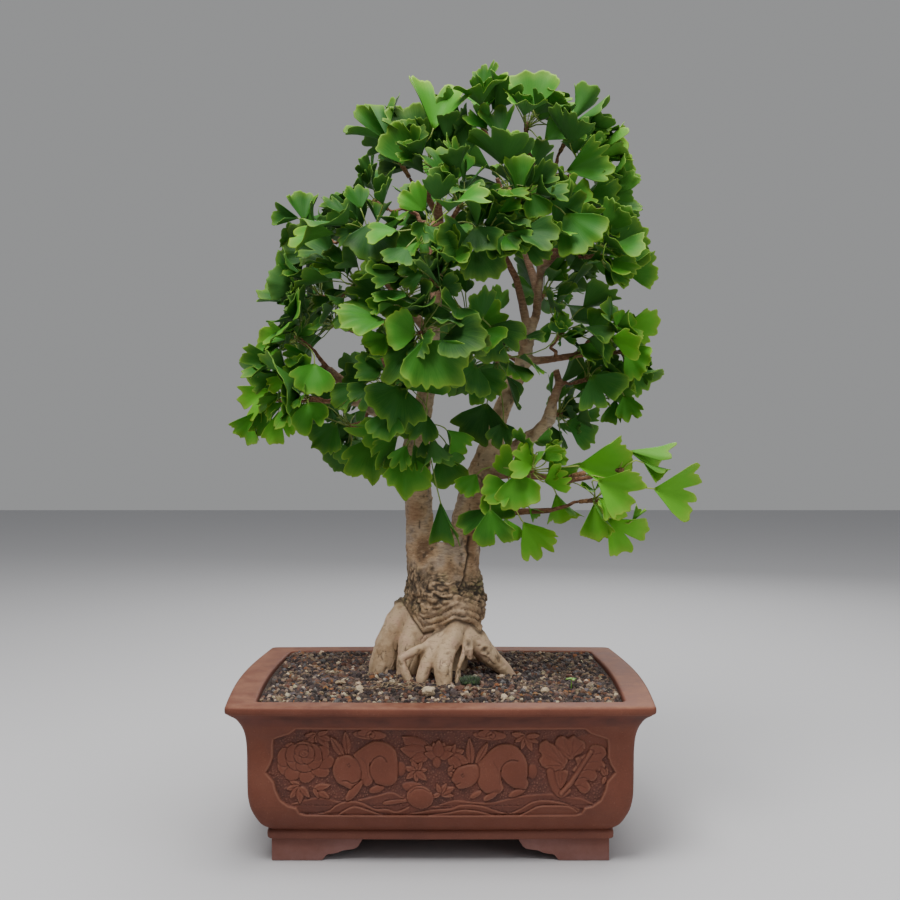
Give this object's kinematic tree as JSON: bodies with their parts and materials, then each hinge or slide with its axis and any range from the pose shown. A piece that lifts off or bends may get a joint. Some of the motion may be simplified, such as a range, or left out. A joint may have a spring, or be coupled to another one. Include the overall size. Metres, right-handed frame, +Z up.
{
  "type": "ginkgo bonsai",
  "caption": "Ginkgo bonsai with a forked trunk, surface roots and fan-shaped leaves, in a rectangular unglazed clay pot with relief panels and cloud-shaped feet.",
  "frame": {"origin": "middle of the whole object's footprint box, on the ground under the pot's feet", "axes": "+Z up, +X to the right along the pot's long side, +Y away from the side that the picture shows (the front faces -Y)"},
  "size_m": [0.543, 0.3998, 0.9202],
  "materials": {
    "red_clay": "matte unglazed red-brown clay, darker in the recesses of the relief",
    "lava_and_pumice_soil": "rough grains of dark lava and pale pumice",
    "bark": "tan-grey bark, dark and fissured at the base of the trunk, red-brown on young wood",
    "ginkgo_leaf": "satin green with thin lighter margins and radiating veins, some leaves yellow-green",
    "screen_plastic": "matte black mesh",
    "clip_wire": "dull wire",
    "moss": "soft, matte",
    "pumice": "matte cream stone"
  },
  "bodies": {
    "root": {"pot": "red_clay", "soil": "lava_and_pumice_soil", "trunk": "bark", "drainage_screen_left": "screen_plastic", "drainage_screen_right": "screen_plastic", "screen_clip_left": "clip_wire", "screen_clip_right": "clip_wire", "pumice_stone_1": "pumice", "pumice_stone_2": "pumice", "pumice_stone_3": "pumice", "pumice_stone_4": "pumice", "moss": "moss", "seedling": "ginkgo_leaf", "leaf_spray_01": "ginkgo_leaf", "leaf_spray_02": "ginkgo_leaf", "leaf_spray_03": "ginkgo_leaf", "leaf_spray_04": "ginkgo_leaf", "leaf_spray_05": "ginkgo_leaf", "leaf_spray_06": "ginkgo_leaf", "leaf_spray_07": "ginkgo_leaf", "leaf_spray_08": "ginkgo_leaf", "leaf_spray_09": "ginkgo_leaf", "leaf_spray_10": "ginkgo_leaf", "leaf_spray_11": "ginkgo_leaf", "leaf_spray_12": "ginkgo_leaf", "leaf_spray_13": "ginkgo_leaf", "leaf_spray_14": "ginkgo_leaf", "leaf_spray_15": "ginkgo_leaf", "leaf_spray_16": "ginkgo_leaf", "leaf_spray_17": "ginkgo_leaf", "leaf_spray_18": "ginkgo_leaf", "leaf_spray_19": "ginkgo_leaf", "leaf_spray_20": "ginkgo_leaf", "leaf_spray_21": "ginkgo_leaf", "leaf_spray_22": "ginkgo_leaf", "leaf_spray_23": "ginkgo_leaf", "leaf_spray_24": "ginkgo_leaf", "leaf_spray_25": "ginkgo_leaf", "leaf_spray_26": "ginkgo_leaf", "leaf_spray_27": "ginkgo_leaf", "leaf_spray_28": "ginkgo_leaf", "leaf_spray_29": "ginkgo_leaf", "leaf_spray_30": "ginkgo_leaf", "leaf_spray_31": "ginkgo_leaf", "leaf_spray_32": "ginkgo_leaf", "leaf_spray_33": "ginkgo_leaf", "leaf_spray_34": "ginkgo_leaf", "leaf_spray_35": "ginkgo_leaf", "leaf_spray_36": "ginkgo_leaf", "leaf_spray_37": "ginkgo_leaf", "leaf_spray_38": "ginkgo_leaf", "leaf_spray_39": "ginkgo_leaf", "leaf_spray_40": "ginkgo_leaf", "leaf_spray_41": "ginkgo_leaf", "leaf_spray_42": "ginkgo_leaf", "leaf_spray_43": "ginkgo_leaf", "leaf_spray_44": "ginkgo_leaf", "leaf_spray_45": "ginkgo_leaf", "leaf_spray_46": "ginkgo_leaf", "leaf_spray_47": "ginkgo_leaf"}
  },
  "joints": []
}
